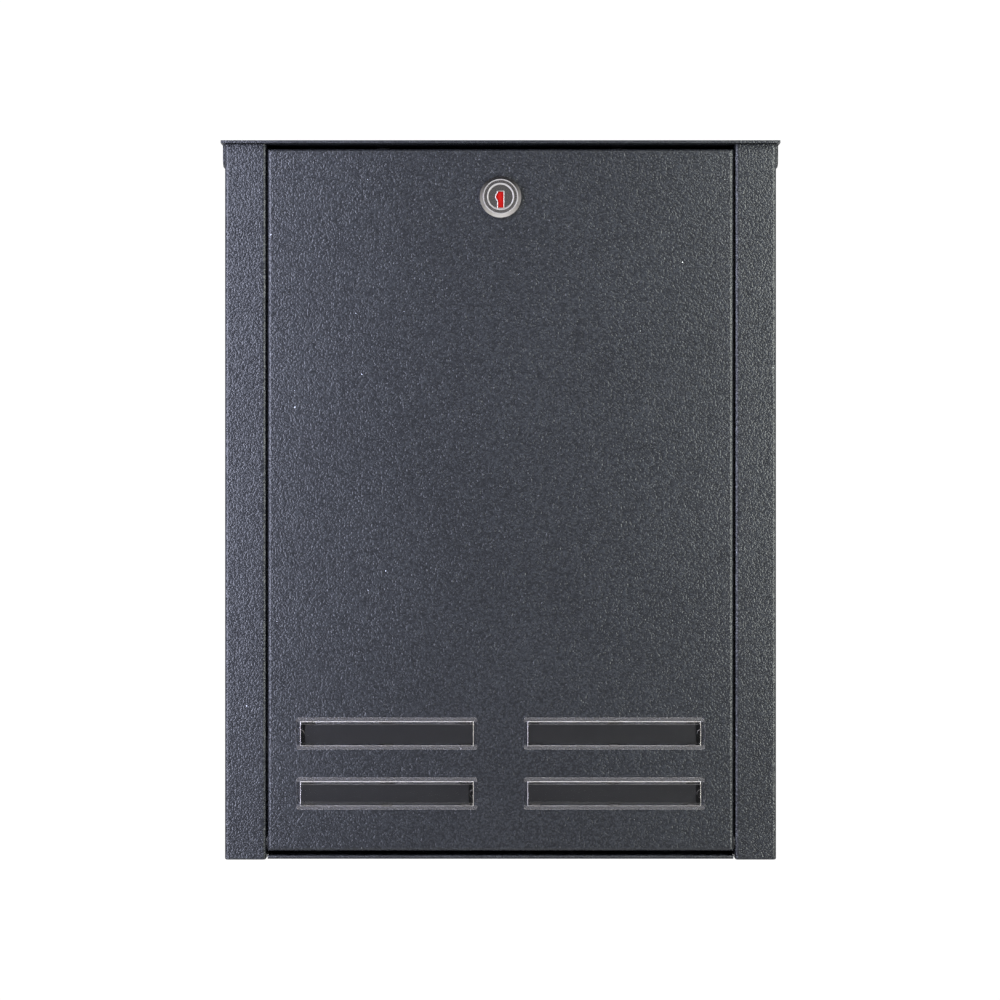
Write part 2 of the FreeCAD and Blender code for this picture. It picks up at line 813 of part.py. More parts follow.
def make_pin(label, side):
    """A shoulder rivet fixed in a post's return, that the door turns on."""
    body = new_body(label)
    inner = door_half - d["gauge"] - d["pin_air"]
    outer = jamb_x + d["gauge"]
    section = new_sketch(body, "XZ")
    rounding = d["pin_head"] * 0.4
    head_radius = d["pin_radius"] + d["pin_head_lap"]
    draw_outline(
        section,
        [
            (inner - d["pin_head"], 0),
            (outer + d["pin_head"], 0),
            (outer + d["pin_head"], head_radius, rounding),
            (outer, head_radius),
            (outer, d["pin_radius"]),
            (inner, d["pin_radius"]),
            (inner, head_radius),
            (inner - d["pin_head"], head_radius, rounding),
        ],
    )
    turn(body, section, "X")
    place(body, y=pivot_y, z=pivot_z)
    if side < 0:
        body.Placement.Rotation = FreeCAD.Rotation(Vector(0, 0, 1), 180)


def make_bush(label, side):
    """The nylon bush in the door's side flange, with a collar towards the post."""
    body = new_body(label)
    bore = d["pin_radius"] + d["pin_fit"]
    inner = door_half - d["gauge"]
    section = new_sketch(body, "XZ")
    draw_outline(
        section,
        [
            (inner, bore),
            (door_half + d["bush_collar"], bore),
            (door_half + d["bush_collar"], bush_radius + d["bush_collar_width"]),
            (door_half, bush_radius + d["bush_collar_width"]),
            (door_half, bush_radius),
            (inner, bush_radius),
        ],
    )
    turn(body, section, "X")
    place(body, y=pivot_y, z=pivot_z)
    if side < 0:
        body.Placement.Rotation = FreeCAD.Rotation(Vector(0, 0, 1), 180)


# ---------------------------------------------------------------- rubber pads
def make_pads(label, face, height, axis):
    """Two glued rubber pads with domed tops, side by side on the rail."""
    body = new_body(label)
    body.AllowCompound = True
    plane = "XY" if axis == "Z" else "XZ"
    pad_x = jamb_x - d["pad_inset"]
    outline = new_sketch(body, plane, face[0])
    for x in (-1, 1):
        draw_circle(outline, (x * pad_x, face[1]), d["pad_radius"])
    towards = 1 if axis == "Z" else -1
    slab = pad(body, outline, height, towards=towards)
    free_end = face[0] + towards * height
    index = 2 if axis == "Z" else 1
    fillet(body, slab, d["pad_dome"], lambda edge: lies_at(edge, index, free_end))


# ---------------------------------------------------------------- lock
def make_lock_housing():
    """Bezel and threaded barrel in one zinc casting, bored for the plug."""
    body = new_body("lock_housing")
    bore = shank_radius + d["plug_fit"]
    seat = d["plug_head_radius"] + d["plug_fit"]
    seat_back = plug_face + d["plug_head"] - front
    track = -d["bezel_height"] + d["bezel_track_depth"]
    section = new_sketch(body, "XY")
    draw_outline(
        section,
        [
            (bore, barrel_length),
            (bore, seat_back),
            (seat, seat_back),
            (seat, -d["bezel_height"]),
            (lip_radius, -d["bezel_height"]),
            (lip_radius, track),
            (track_radius, track),
            (track_radius, -d["bezel_height"]),
            (rim_radius, -d["bezel_height"]),
            (bezel_radius, -d["bezel_side"]),
            (bezel_radius, 0),
            (barrel_radius, 0),
            (barrel_radius, barrel_length),
        ],
    )
    turn(body, section, "Y")
    flats = new_sketch(body, "XZ")
    over = barrel_radius * 2
    draw_rectangle(flats, (half_flats, -over), (over, over))
    cut = pocket(body, flats, barrel_length + 1)
    mirrored(body, [cut], "YZ")
    tick = new_sketch(body, "XZ", track)
    half_tick = d["bezel_tick_width"] / 2
    low = lip_radius + half_tick
    high = track_radius - half_tick
    draw_rectangle(tick, (-half_tick, low), (half_tick, high))
    notch = pocket(body, tick, d["bezel_tick_depth"])
    around(body, [notch], "Y", d["bezel_tick_count"])
    place(body, y=front, z=lock_z)


def draw_keyhole(sketch):
    """The keyway's mouth: an upright slot with a round side towards the left."""
    left, right = -d["keyway_left"], d["keyway_right"]
    up, down = d["keyway_up"], -d["keyway_down"]
    bulge = d["keyway_bulge"]
    reach = (bulge.value**2 - left.value**2) ** 0.5
    points = [
        (left, reach),
        (left, up),
        (right, up),
        (right, down),
        (left, down),
        (left, -reach),
    ]
    lines = []
    for start, end in zip(points, points[1:]):
        lines.append(sketch.addGeometry(Part.LineSegment(flat(start), flat(end))))
    middle = Vector(-bulge.value, 0, 0)
    arc = sketch.addGeometry(Part.Arc(flat(points[0]), middle, flat(points[-1])))
    for first, second in zip(lines, lines[1:]):
        sketch.addConstraint(Sketcher.Constraint("Coincident", first, 2, second, 1))
    sketch.addConstraint(Sketcher.Constraint("Coincident", lines[-1], 2, arc, 2))
    sketch.addConstraint(Sketcher.Constraint("Coincident", arc, 1, lines[0], 1))
    for line, point in zip(lines[1:], points[1:]):
        fix_point(sketch, line, 1, point)
    sketch.addConstraint(Sketcher.Constraint("Vertical", lines[0]))
    sketch.addConstraint(Sketcher.Constraint("Vertical", lines[-1]))
    fix_point(sketch, arc, 3, (0, 0))
    constrain(sketch, "Radius", (arc,), bulge)


def make_lock_plug():
    """The part that the key turns: raised rim, keyway, shutter chamber, wafer slots and tail."""
    body = new_body("lock_plug")
    rim_foot = d["plug_head_radius"] - d["plug_rim"]
    length = barrel_end - plug_face
    tail = d["cam_fit"] * 2 + d["cam_gauge"]
    section = new_sketch(body, "XY")
    draw_outline(
        section,
        [
            (0, 0),
            (rim_foot, 0),
            (rim_foot + d["plug_rim_slope"], -d["plug_rim_proud"]),
            (d["plug_head_radius"], -d["plug_rim_proud"]),
            (d["plug_head_radius"], d["plug_head"] - d["plug_fit"]),
            (shank_radius, d["plug_head"] - d["plug_fit"]),
            (shank_radius, length),
            (0, length),
        ],
    )
    turn(body, section, "Y")
    square = new_sketch(body, "XZ", length)
    half_tail = d["plug_tail_width"] / 2
    draw_rectangle(square, (-half_tail, -half_tail), (half_tail, half_tail), d["plug_tail_round"])
    pad(body, square, tail)
    thread = new_sketch(body, "XZ", length + tail)
    draw_circle(thread, (0, 0), d["screw_radius"] + d["plug_fit"])
    depth = d["screw_reach"] - d["screw_washer_gauge"] + d["screw_bottom_gap"]
    pocket(body, thread, depth, towards=-1)
    mouth = new_sketch(body, "XZ")
    draw_keyhole(mouth)
    pocket(body, mouth, d["chamber_wall"] * 2)
    chamber = new_sketch(body, "XZ", d["chamber_wall"])
    draw_rectangle(chamber, (-d["chamber_left"], -chamber_down), (d["chamber_right"], chamber_up))
    pocket(body, chamber, d["chamber_depth"])
    keyway = new_sketch(body, "XZ", d["chamber_wall"])
    half_key = d["keyway_left"]
    draw_rectangle(keyway, (-half_key, -d["wafer_window_down"]), (half_key, d["keyway_up"]))
    last_wafer = wafer_front + d["wafer_pitch"] * (WAFERS - 1) + d["wafer_gauge"]
    pocket(body, keyway, last_wafer - chamber_front + d["wafer_fit"])
    slot = new_sketch(body, "XZ", wafer_front - plug_face - d["wafer_fit"])
    half_slot = d["wafer_width"] / 2 + d["wafer_fit"]
    over = shank_radius + 1
    draw_rectangle(slot, (-half_slot, -over), (half_slot, over))
    cut = pocket(body, slot, d["wafer_gauge"] + 2 * d["wafer_fit"])
    in_line(body, [cut], "Y", d["wafer_pitch"] * (WAFERS - 1), WAFERS)
    pin = new_sketch(body, "XY", -(chamber_down + d["shutter_pin_end"]))
    draw_circle(pin, (shutter_x, shutter_y - plug_face), d["shutter_pin_radius"] + d["plug_fit"] / 2)
    pocket(body, pin, chamber_down + chamber_up + 2 * d["shutter_pin_end"])
    place(body, y=plug_face, z=lock_z)


def make_lock_wafers():
    """Disc tumblers, drawn in level with the plug as a key holds them."""
    body = new_body("lock_wafers")
    body.AllowCompound = True
    outline = new_sketch(body, "XZ", wafer_front - plug_face)
    half = d["wafer_width"] / 2
    reach = shank_radius - d["wafer_gauge"]
    draw_rectangle(outline, (-half, -reach), (half, reach), d["wafer_gauge"])
    half_window = d["wafer_window"] / 2
    draw_rectangle(outline, (-half_window, -d["wafer_window_down"]), (half_window, d["keyway_up"]))
    disc = pad(body, outline, d["wafer_gauge"])
    in_line(body, [disc], "Y", d["wafer_pitch"] * (WAFERS - 1), WAFERS)
    place(body, y=plug_face, z=lock_z)


def make_key_shutter():
    """The red flap that closes the keyway, with the barrel that its pin runs in."""
    body = new_body("key_shutter")
    height = chamber_up + chamber_down - 2 * d["shutter_fit"]
    base = new_sketch(body, "XY", -chamber_down + d["shutter_fit"])
    left = -(d["chamber_left"] - 2 * d["shutter_fit"]) - shutter_x
    draw_rectangle(base, (left, -shutter_knuckle), (0, d["shutter_gauge"] - shutter_knuckle))
    pad(body, base, height)
    barrel = new_sketch(body, "XY", -chamber_down + d["shutter_fit"])
    draw_circle(barrel, (0, 0), shutter_knuckle)
    pad(body, barrel, height)
    bore = new_sketch(body, "XY")
    draw_circle(bore, (0, 0), d["shutter_pin_radius"] + d["shutter_fit"])
    pocket(body, bore, height * 3, both_ways=True)
    place(body, shutter_x, shutter_y, lock_z)


def make_shutter_pin():
    pin = doc.addObject("Part::Cylinder", "shutter_pin")
    pin.Label = "shutter_pin"
    pin.setExpression("Radius", text(d["shutter_pin_radius"]))
    pin.setExpression("Height", text(chamber_down + chamber_up + 2 * d["shutter_pin_end"]))
    place(pin, shutter_x, shutter_y, lock_z - chamber_down - d["shutter_pin_end"])


def make_lock_washer():
    """The toothed washer between the door and the nut."""
    body = new_body("lock_washer")
    ring = new_sketch(body, "XZ")
    draw_circle(ring, (0, 0), tooth_washer_radius)
    draw_circle(ring, (0, 0), barrel_radius + d["punch_fit"])
    pad(body, ring, d["tooth_washer_gauge"])
    gap = new_sketch(body, "XZ")
    half_gap = d["tooth_gap"] / 2
    low = tooth_washer_radius - d["tooth_depth"]
    draw_rectangle(gap, (-half_gap, low), (half_gap, tooth_washer_radius + 1))
    cut = pocket(body, gap, d["tooth_washer_gauge"])
    around(body, [cut], "Y", d["tooth_count"])
    place(body, y=door_inside, z=lock_z)


def make_lock_nut():
    body = new_body("lock_nut")
    blank = new_sketch(body, "XZ")
    half_flat = barrel_radius + d["nut_wall"]
    corner = half_flat * 2 / 3**0.5
    draw_outline(
        blank,
        [
            (corner, 0),
            (corner / 2, half_flat),
            (-corner / 2, half_flat),
            (-corner, 0),
            (-corner / 2, -half_flat),
            (corner / 2, -half_flat),
        ],
    )
    draw_circle(blank, (0, 0), barrel_radius + d["plug_fit"])
    pad(body, blank, d["nut_height"])
    place(body, y=door_inside + d["tooth_washer_gauge"], z=lock_z)


def make_lock_cam():
    """The flat lever on the plug's tail. It points sideways unlocked and upwards locked."""
    body = new_body("lock_cam")
    arm = new_sketch(body, "XZ")
    half = d["cam_width"] / 2
    draw_outline(
        arm,
        [
            (0, -half),
            (cam_reach, -half, d["cam_tip_radius"]),
            (cam_reach, half, d["cam_tip_radius"]),
            (0, half),
        ],
    )
    pad(body, arm, d["cam_gauge"])
    hub = new_sketch(body, "XZ")
    draw_circle(hub, (0, 0), d["cam_hub_radius"])
    pad(body, hub, d["cam_gauge"])
    hole = new_sketch(body, "XZ")
    square = d["plug_tail_width"] / 2 + d["cam_fit"]
    rounding = d["plug_tail_round"] - d["cam_fit"]
    draw_rectangle(hole, (-square, -square), (square, square), rounding)
    pocket(body, hole, d["cam_gauge"])
    place(body, y=cam_front, z=lock_z)


def make_cam_fasteners():
    """The screw that holds the cam on the plug's tail, and the washer under its head."""
    seat = cam_back + d["cam_fit"]
    washer = new_body("cam_washer")
    ring = new_sketch(washer, "XZ")
    draw_circle(ring, (0, 0), d["screw_washer_radius"])
    draw_circle(ring, (0, 0), d["screw_radius"] + d["cam_fit"])
    pad(washer, ring, d["screw_washer_gauge"])
    place(washer, y=seat, z=lock_z)

    screw = new_body("cam_screw")
    head = new_sketch(screw, "XZ")
    draw_circle(head, (0, 0), d["screw_head_radius"])
    blank = pad(screw, head, d["screw_head"])
    fillet(screw, blank, d["screw_head_round"], lambda edge: lies_at(edge, 1, d["screw_head"]))
    shank = new_sketch(screw, "XZ")
    draw_circle(shank, (0, 0), d["screw_radius"])
    pad(screw, shank, d["screw_reach"], towards=-1)
    recess = new_sketch(screw, "XZ", d["screw_head"])
    half = d["screw_recess_width"] / 2
    arm = d["screw_head_radius"] - d["screw_head_round"] - half
    draw_outline(
        recess,
        [
            (arm, -half),
            (arm, half),
            (half, half),
            (half, arm),
            (-half, arm),
            (-half, half),
            (-arm, half),
            (-arm, -half),
            (-half, -half),
            (-half, -arm),
            (half, -arm),
            (half, -half),
        ],
    )
    pocket(screw, recess, d["screw_recess_depth"], towards=-1)
    place(screw, y=seat + d["screw_washer_gauge"], z=lock_z)


# ---------------------------------------------------------------- name plates
def make_name_cover(name):
    """A clear cover: rim, crowned window, card recess, six snap hooks and a nib to prise it by."""
    body = new_body(f"name_cover_{name}")
    half_x, half_z = d["name_width"] / 2, d["name_height"] / 2
    base = new_sketch(body, "XZ")
    draw_rectangle(base, (-half_x, -half_z), (half_x, half_z), d["name_corner_radius"])
    pad(body, base, d["name_rim"], towards=-1)

    nib = new_sketch(body, "XZ")
    half_nib = d["name_nib"] / 2
    root, tip = half_x - d["name_nib_root"], half_x + d["name_nib_proud"]
    draw_rectangle(nib, (root, -half_nib), (tip, half_nib), d["name_nib_radius"])
    pad(body, nib, d["name_rim"], towards=-1)

    crown = new_sketch(body, "YZ")
    draw_crown(crown, half_z - d["name_border"])
    window = pad(body, crown, d["name_width"] - 2 * d["name_border"], both_ways=True)

    def window_edge(edge):
        box = edge.BoundBox
        return box.YMax < -number(d["name_rim"]) - 1e-4

    fillet(body, window, d["name_edge_radius"], window_edge)

    recess = new_sketch(body, "XZ")
    draw_card_recess(recess)
    pocket(body, recess, d["name_proud"] - d["name_skin"], towards=-1)

    hook = new_sketch(body, "YZ", -(d["name_hook_width"] / 2) - d["name_hook_pitch"])
    inner = slot_height / 2
    back = d["gauge"] + d["weld_fit"] / 2
    draw_outline(
        hook,
        [
            (-d["name_rim"] / 2, inner),
            (back + d["name_barb"] * 1.5, inner),
            (back + d["name_barb"] * 1.5, inner + d["name_hook"] * 0.6),
            (back, hook_outer + d["name_barb"]),
            (back, hook_outer),
            (-d["name_rim"] / 2, hook_outer),
        ],
    )
    first = pad(body, hook, d["name_hook_width"])
    row = in_line(body, [first], "X", 2 * d["name_hook_pitch"], 3)
    mirror_hooks(body, first, row)
    x, z = plate_centre(name)
    place(body, x, front, z)
    if name == "upper_left":  # fitted the other way up, with its nib at the left
        body.Placement.Rotation = FreeCAD.Rotation(Vector(0, 1, 0), 180)


def mirror_hooks(body, first, row):
    """The hooks along the other long side."""
    transform = body.newObject("PartDesign::MultiTransform", f"{body.Name}_hooks")
    transform.Originals = [first]
    mirror = body.newObject("PartDesign::Mirrored", f"{body.Name}_other_side")
    mirror.MirrorPlane = (origin_feature(body, "XY_Plane"), [""])
    line = body.newObject("PartDesign::LinearPattern", f"{body.Name}_line")
    line.Direction = (origin_feature(body, "X_Axis"), [""])
    line.setExpression("Length", text(2 * d["name_hook_pitch"]))
    line.Occurrences = 3
    transform.Transformations = [line, mirror]
    body.Tip = transform
    return finish(body, transform, "hooks")


def draw_crown(sketch, half_z):
    """The window's section: a flat back on the rim and a front that is slightly round."""
    base, edge = -d["name_rim"], -(d["name_proud"] - d["name_crown"])
    points = [(edge, -half_z), (base * 0.5, -half_z), (base * 0.5, half_z), (edge, half_z)]
    lines = []
    for start, end in zip(points, points[1:]):
        lines.append(sketch.addGeometry(Part.LineSegment(flat(start), flat(end))))
    middle = Vector(-number(d["name_proud"]), 0, 0)
    arc = sketch.addGeometry(Part.Arc(flat(points[0]), middle, flat(points[-1])))
    sketch.addConstraint(Sketcher.Constraint("Coincident", lines[-1], 2, arc, 1))
    sketch.addConstraint(Sketcher.Constraint("Coincident", arc, 2, lines[0], 1))
    for first, second in zip(lines, lines[1:]):
        sketch.addConstraint(Sketcher.Constraint("Coincident", first, 2, second, 1))
    fix_point(sketch, lines[0], 1, points[0])
    fix_point(sketch, lines[1], 1, points[1])
    fix_point(sketch, lines[2], 1, points[2])
    fix_point(sketch, lines[2], 2, points[3])
    radius = (half_z * half_z + d["name_crown"] * d["name_crown"]) / (2 * d["name_crown"])
    constrain(sketch, "Radius", (arc,), radius)


def draw_card_recess(sketch):
    """The recess behind the window, with a round scoop of plastic left at the nib's end."""
    half_x, half_z = slot_width / 2, slot_height / 2
    scoop = d["name_scoop"]
    points = [
        (half_x, scoop),
        (half_x, half_z),
        (-half_x, half_z),
        (-half_x, -half_z),
        (half_x, -half_z),
        (half_x, -scoop),
    ]
    lines = []
    for start, end in zip(points, points[1:]):
        lines.append(sketch.addGeometry(Part.LineSegment(flat(start), flat(end))))
    middle = Vector(half_x.value - scoop.value, 0, 0)
    arc = sketch.addGeometry(Part.Arc(flat(points[0]), middle, flat(points[-1])))
    for first, second in zip(lines, lines[1:]):
        sketch.addConstraint(Sketcher.Constraint("Coincident", first, 2, second, 1))
    sketch.addConstraint(Sketcher.Constraint("Coincident", arc, 1, lines[0], 1))
    sketch.addConstraint(Sketcher.Constraint("Coincident", lines[-1], 2, arc, 2))
    sketch.addConstraint(Sketcher.Constraint("Vertical", lines[0]))
    sketch.addConstraint(Sketcher.Constraint("Vertical", lines[-1]))
    for line, point in zip(lines[1:], points[1:]):
        fix_point(sketch, line, 1, point)
    fix_point(sketch, arc, 3, (half_x, 0))
    constrain(sketch, "Radius", (arc,), scoop)


def make_name_backing(name):
    """The black strip behind the name card, a tight fit between the window's long edges."""
    body = new_body(f"name_backing_{name}")
    half_x = slot_width / 2 - d["name_fit"]
    half_z = slot_height / 2
    scoop = d["name_scoop"] + d["name_fit"]
    outline = new_sketch(body, "XZ")
    draw_rectangle(outline, (-half_x, -half_z), (half_x - scoop, half_z))
    pad(body, outline, d["backing_gauge"], both_ways=True)
    x, z = plate_centre(name)
    place(body, x, front, z)
    if name == "upper_left":
        body.Placement.Rotation = FreeCAD.Rotation(Vector(0, 1, 0), 180)


# ---------------------------------------------------------------- the whole mailbox
def make_everything():
    make_body_shell()
    make_bottom_panel()
    make_front_top_rail()
    make_rear_top_panel()
    make_lid_panel()
    make_hinge_leaf("hinge_leaf_fixed", top, 1, 0, (HINGE_KNUCKLES + 1) // 2)
    make_hinge_leaf("hinge_leaf_lid", lid_under, -1, 1, HINGE_KNUCKLES // 2)
    make_hinge_rod()
    make_door_panel()
    for label, side in (("left", -1), ("right", 1)):
        make_pin(f"door_pin_{label}", side)
        make_bush(f"door_bush_{label}", side)
    door_pad_gap = jamb_y - door_back - d["pad_air"]
    make_pads("door_bumpers", (jamb_y, door_top - d["pad_radius"]), door_pad_gap, "Y")
    lid_pad_y = jamb_y + d["rail_depth"] / 2
    make_pads("lid_bumpers", (rail_top, lid_pad_y), lid_under - rail_top - d["pad_air"], "Z")
    make_lock_housing()
    make_lock_plug()
    make_lock_wafers()
    make_key_shutter()
    make_shutter_pin()
    make_lock_washer()
    make_lock_nut()
    make_lock_cam()
    make_cam_fasteners()
    for name in PLATES:
        make_name_cover(name)
        make_name_backing(name)


def export_parts():
    """Checks every object and writes each sub-part to its own STEP file."""
    doc.recompute()
    for thing in doc.Objects:
        if {"Invalid", "Error"} & set(thing.State):
            raise RuntimeError(f"{thing.Label} is in state {thing.State}")
    os.makedirs("parts", exist_ok=True)
    for thing in doc.Objects:
        if thing.TypeId not in ("PartDesign::Body", "Part::Cylinder"):
            continue
        shape = thing.Shape
        if shape.isNull() or not shape.isValid() or not shape.Solids:
            raise RuntimeError(f"{thing.Label} has no valid solid")
        shape.exportStep(f"parts/{thing.Label}.step")
        print(thing.Label, len(shape.Solids), round(shape.Volume, 1))


make_everything()
export_parts()
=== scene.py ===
import bpy
import json
import math
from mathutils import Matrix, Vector


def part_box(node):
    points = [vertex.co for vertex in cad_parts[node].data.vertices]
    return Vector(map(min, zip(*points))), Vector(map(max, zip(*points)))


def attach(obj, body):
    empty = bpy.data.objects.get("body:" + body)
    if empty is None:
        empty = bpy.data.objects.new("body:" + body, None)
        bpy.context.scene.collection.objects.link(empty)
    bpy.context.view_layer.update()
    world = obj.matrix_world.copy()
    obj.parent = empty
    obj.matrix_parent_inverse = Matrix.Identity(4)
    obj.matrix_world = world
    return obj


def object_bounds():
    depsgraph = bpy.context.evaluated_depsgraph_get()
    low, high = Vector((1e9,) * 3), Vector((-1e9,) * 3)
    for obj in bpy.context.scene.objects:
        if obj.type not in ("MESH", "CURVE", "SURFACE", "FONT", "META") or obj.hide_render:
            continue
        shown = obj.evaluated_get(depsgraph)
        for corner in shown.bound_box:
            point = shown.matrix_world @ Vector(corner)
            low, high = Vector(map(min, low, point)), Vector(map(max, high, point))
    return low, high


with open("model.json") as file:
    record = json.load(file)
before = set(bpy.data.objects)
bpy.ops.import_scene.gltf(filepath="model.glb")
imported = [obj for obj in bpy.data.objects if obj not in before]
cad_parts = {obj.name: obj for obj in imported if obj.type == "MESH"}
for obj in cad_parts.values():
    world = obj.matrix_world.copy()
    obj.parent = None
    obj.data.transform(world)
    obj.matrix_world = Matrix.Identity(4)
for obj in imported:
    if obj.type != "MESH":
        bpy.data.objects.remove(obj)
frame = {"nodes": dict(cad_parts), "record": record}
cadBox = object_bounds()
nodes = frame["nodes"]
mm = 0.001
print("frame loaded:", len(nodes), "nodes")


def toLinear(hexColour, alpha=1.0):
    channels = [int(hexColour[i:i + 2], 16) / 255 for i in (1, 3, 5)]
    linear = [c / 12.92 if c <= 0.04045 else ((c + 0.055) / 1.055) ** 2.4 for c in channels]
    return (*linear, alpha)


def addNode(tree, kind, settings=None, links=None):
    # settings are the node's own options or its socket values, links go from a socket to an output
    node = tree.nodes.new(kind)
    for name, value in (settings or {}).items():
        if isinstance(name, int) or name in node.inputs:
            node.inputs[name].default_value = value
        else:
            setattr(node, name, value)
    for name, output in (links or {}).items():
        tree.links.new(output, node.inputs[name])
    return node


def startMaterial(name, shaderSettings):
    material = bpy.data.materials.new(name)
    material.use_nodes = True
    tree = material.node_tree
    shader = tree.nodes["Principled BSDF"]
    for socket, value in shaderSettings.items():
        shader.inputs[socket].default_value = value
    place = addNode(tree, "ShaderNodeTexCoord").outputs["Object"]  # metres, fixed to the piece
    return material, tree, shader, place


def grain(sizeMm):
    return 1 / (sizeMm * mm)  # texture scale that gives features about this size


coat = {
    "pitShadeColour": "#232427",    # anthracite darkened down between the pebbles, a painted shade
    "colour": "#2a2b2f",
    "tipHighlightColour": "#35373b",    # lighter on a pebble's tip, a painted highlight
    "roughness": 0.22,
    "peelMm": 0.9,             # pebbles of the fine texture
    "reliefMm": 0.42,          # real relief is about 0.1 mm, drawn deeper so that it shows
    "filmMm": 60,              # slow changes of film thickness
    "flakeCellMm": 3.4,        # one metal flake at most in each cell
    "flakeMm": 0.42,           # real flakes are about 0.05 mm, drawn coarser so that they show
    "flakeShare": 0.08,        # of the cells
    "flakeColour": "#d4d7dc",
    "pitAt": 0.42,             # heights, as the noise gives them, where the three colours stand
    "filmAt": 0.56,
    "tipAt": 0.72,
    "filmShare": 0.12,         # how much the film's thickness adds to the height
}


def makePowderCoat():
    # fine texture polyester powder, sprayed on zinc plated sheet and baked: satin with a pebbled
    # skin, so light breaks into small glints, with a sparse metal flake
    material, tree, shader, place = startMaterial("anthracitePowderCoat", {
        "Roughness": coat["roughness"], "IOR": 1.5})
    peel = addNode(tree, "ShaderNodeTexNoise", {
        "Scale": grain(coat["peelMm"]), "Detail": 1.2, "Roughness": 0.5}, {"Vector": place})
    bump = addNode(tree, "ShaderNodeBump", {
        "Strength": 1.0, "Distance": coat["reliefMm"] * mm}, {"Height": peel.outputs["Fac"]})
    tree.links.new(bump.outputs[0], shader.inputs["Normal"])
    film = addNode(tree, "ShaderNodeTexNoise", {
        "Scale": grain(coat["filmMm"]), "Detail": 2.0}, {"Vector": place})
    height = addNode(tree, "ShaderNodeMath", {"operation": "MULTIPLY_ADD", 1: coat["filmShare"]},
                     {0: film.outputs["Fac"], 2: peel.outputs["Fac"]})
    # the pebbles' colour is painted shade and painted highlight: darker down in the pits, lighter on the
    # tips
    pebbles = addNode(tree, "ShaderNodeValToRGB", {}, {"Fac": height.outputs[0]})
    ramp = pebbles.color_ramp
    ramp.elements[0].position = coat["pitAt"]
    ramp.elements[0].color = toLinear(coat["pitShadeColour"])
    ramp.elements[1].position = coat["tipAt"]
    ramp.elements[1].color = toLinear(coat["tipHighlightColour"])
    ramp.elements.new(coat["filmAt"]).color = toLinear(coat["colour"])

    # flakes: a spot at the middle of a few cells
    cells = addNode(tree, "ShaderNodeTexVoronoi", {"Scale": grain(coat["flakeCellMm"])},
                    {"Vector": place})
    near = addNode(tree, "ShaderNodeMath", {
        "operation": "LESS_THAN", 1: coat["flakeMm"] / coat["flakeCellMm"] / 2},
        {0: cells.outputs["Distance"]})
    pick = addNode(tree, "ShaderNodeSeparateColor", {}, {"Color": cells.outputs["Color"]})
    chosen = addNode(tree, "ShaderNodeMath", {
        "operation": "LESS_THAN", 1: coat["flakeShare"]}, {0: pick.outputs[0]})
    flake = addNode(tree, "ShaderNodeMath", {"operation": "MULTIPLY"},
                    {0: near.outputs[0], 1: chosen.outputs[0]})
    colour = addNode(tree, "ShaderNodeMix", {"data_type": "RGBA"}, {
        0: flake.outputs[0], 6: pebbles.outputs["Color"]})
    colour.inputs[7].default_value = toLinear(coat["flakeColour"])
    tree.links.new(colour.outputs[2], shader.inputs["Base Color"])
    tree.links.new(flake.outputs[0], shader.inputs["Metallic"])
    return material


nickel = {
    "colour": "#d8d3d0",        # warm white metal
    "roughness": 0.12,
    "castMm": 2.5,              # soft waves left by the die
    "castReliefMm": 0.02,
    "wipeMm": 0.8,              # patches that handling has dulled
    "wipeLeast": 0.6,           # their roughness, as shares of the plain one
    "wipeMost": 1.6,
    "satinRoughness": 0.48,     # tumbled beads that stand proud
    "trackRoughness": 0.27,     # blasted ground between the bezel's two beads
    "faceRoughness": 0.22,      # the key has worn the plug's face
    "trackRing": (0.35, 0.399),  # inner and outer radius, as shares of the piece's width
    "bezelBead": (0.399, 0.423),
    "plugFace": (0.0, 0.43),
    "plugRim": (0.45, 0.51),
}


def ringMask(tree, low, high):
    # 1 between two radii about the piece's own middle, seen along Y, as shares of its width
    whole = addNode(tree, "ShaderNodeTexCoord").outputs["Generated"]
    centred = addNode(tree, "ShaderNodeVectorMath", {"operation": "SUBTRACT", 1: (0.5, 0, 0.5)},
                      {0: whole})
    flat = addNode(tree, "ShaderNodeVectorMath", {"operation": "MULTIPLY", 1: (1, 0, 1)},
                   {0: centred.outputs[0]})
    radius = addNode(tree, "ShaderNodeVectorMath", {"operation": "LENGTH"}, {0: flat.outputs[0]})
    past = addNode(tree, "ShaderNodeMath", {"operation": "GREATER_THAN", 1: low},
                   {0: radius.outputs["Value"]})
    before = addNode(tree, "ShaderNodeMath", {"operation": "LESS_THAN", 1: high},
                     {0: radius.outputs["Value"]})
    return addNode(tree, "ShaderNodeMath", {"operation": "MULTIPLY"},
                   {0: past.outputs[0], 1: before.outputs[0]}).outputs[0]


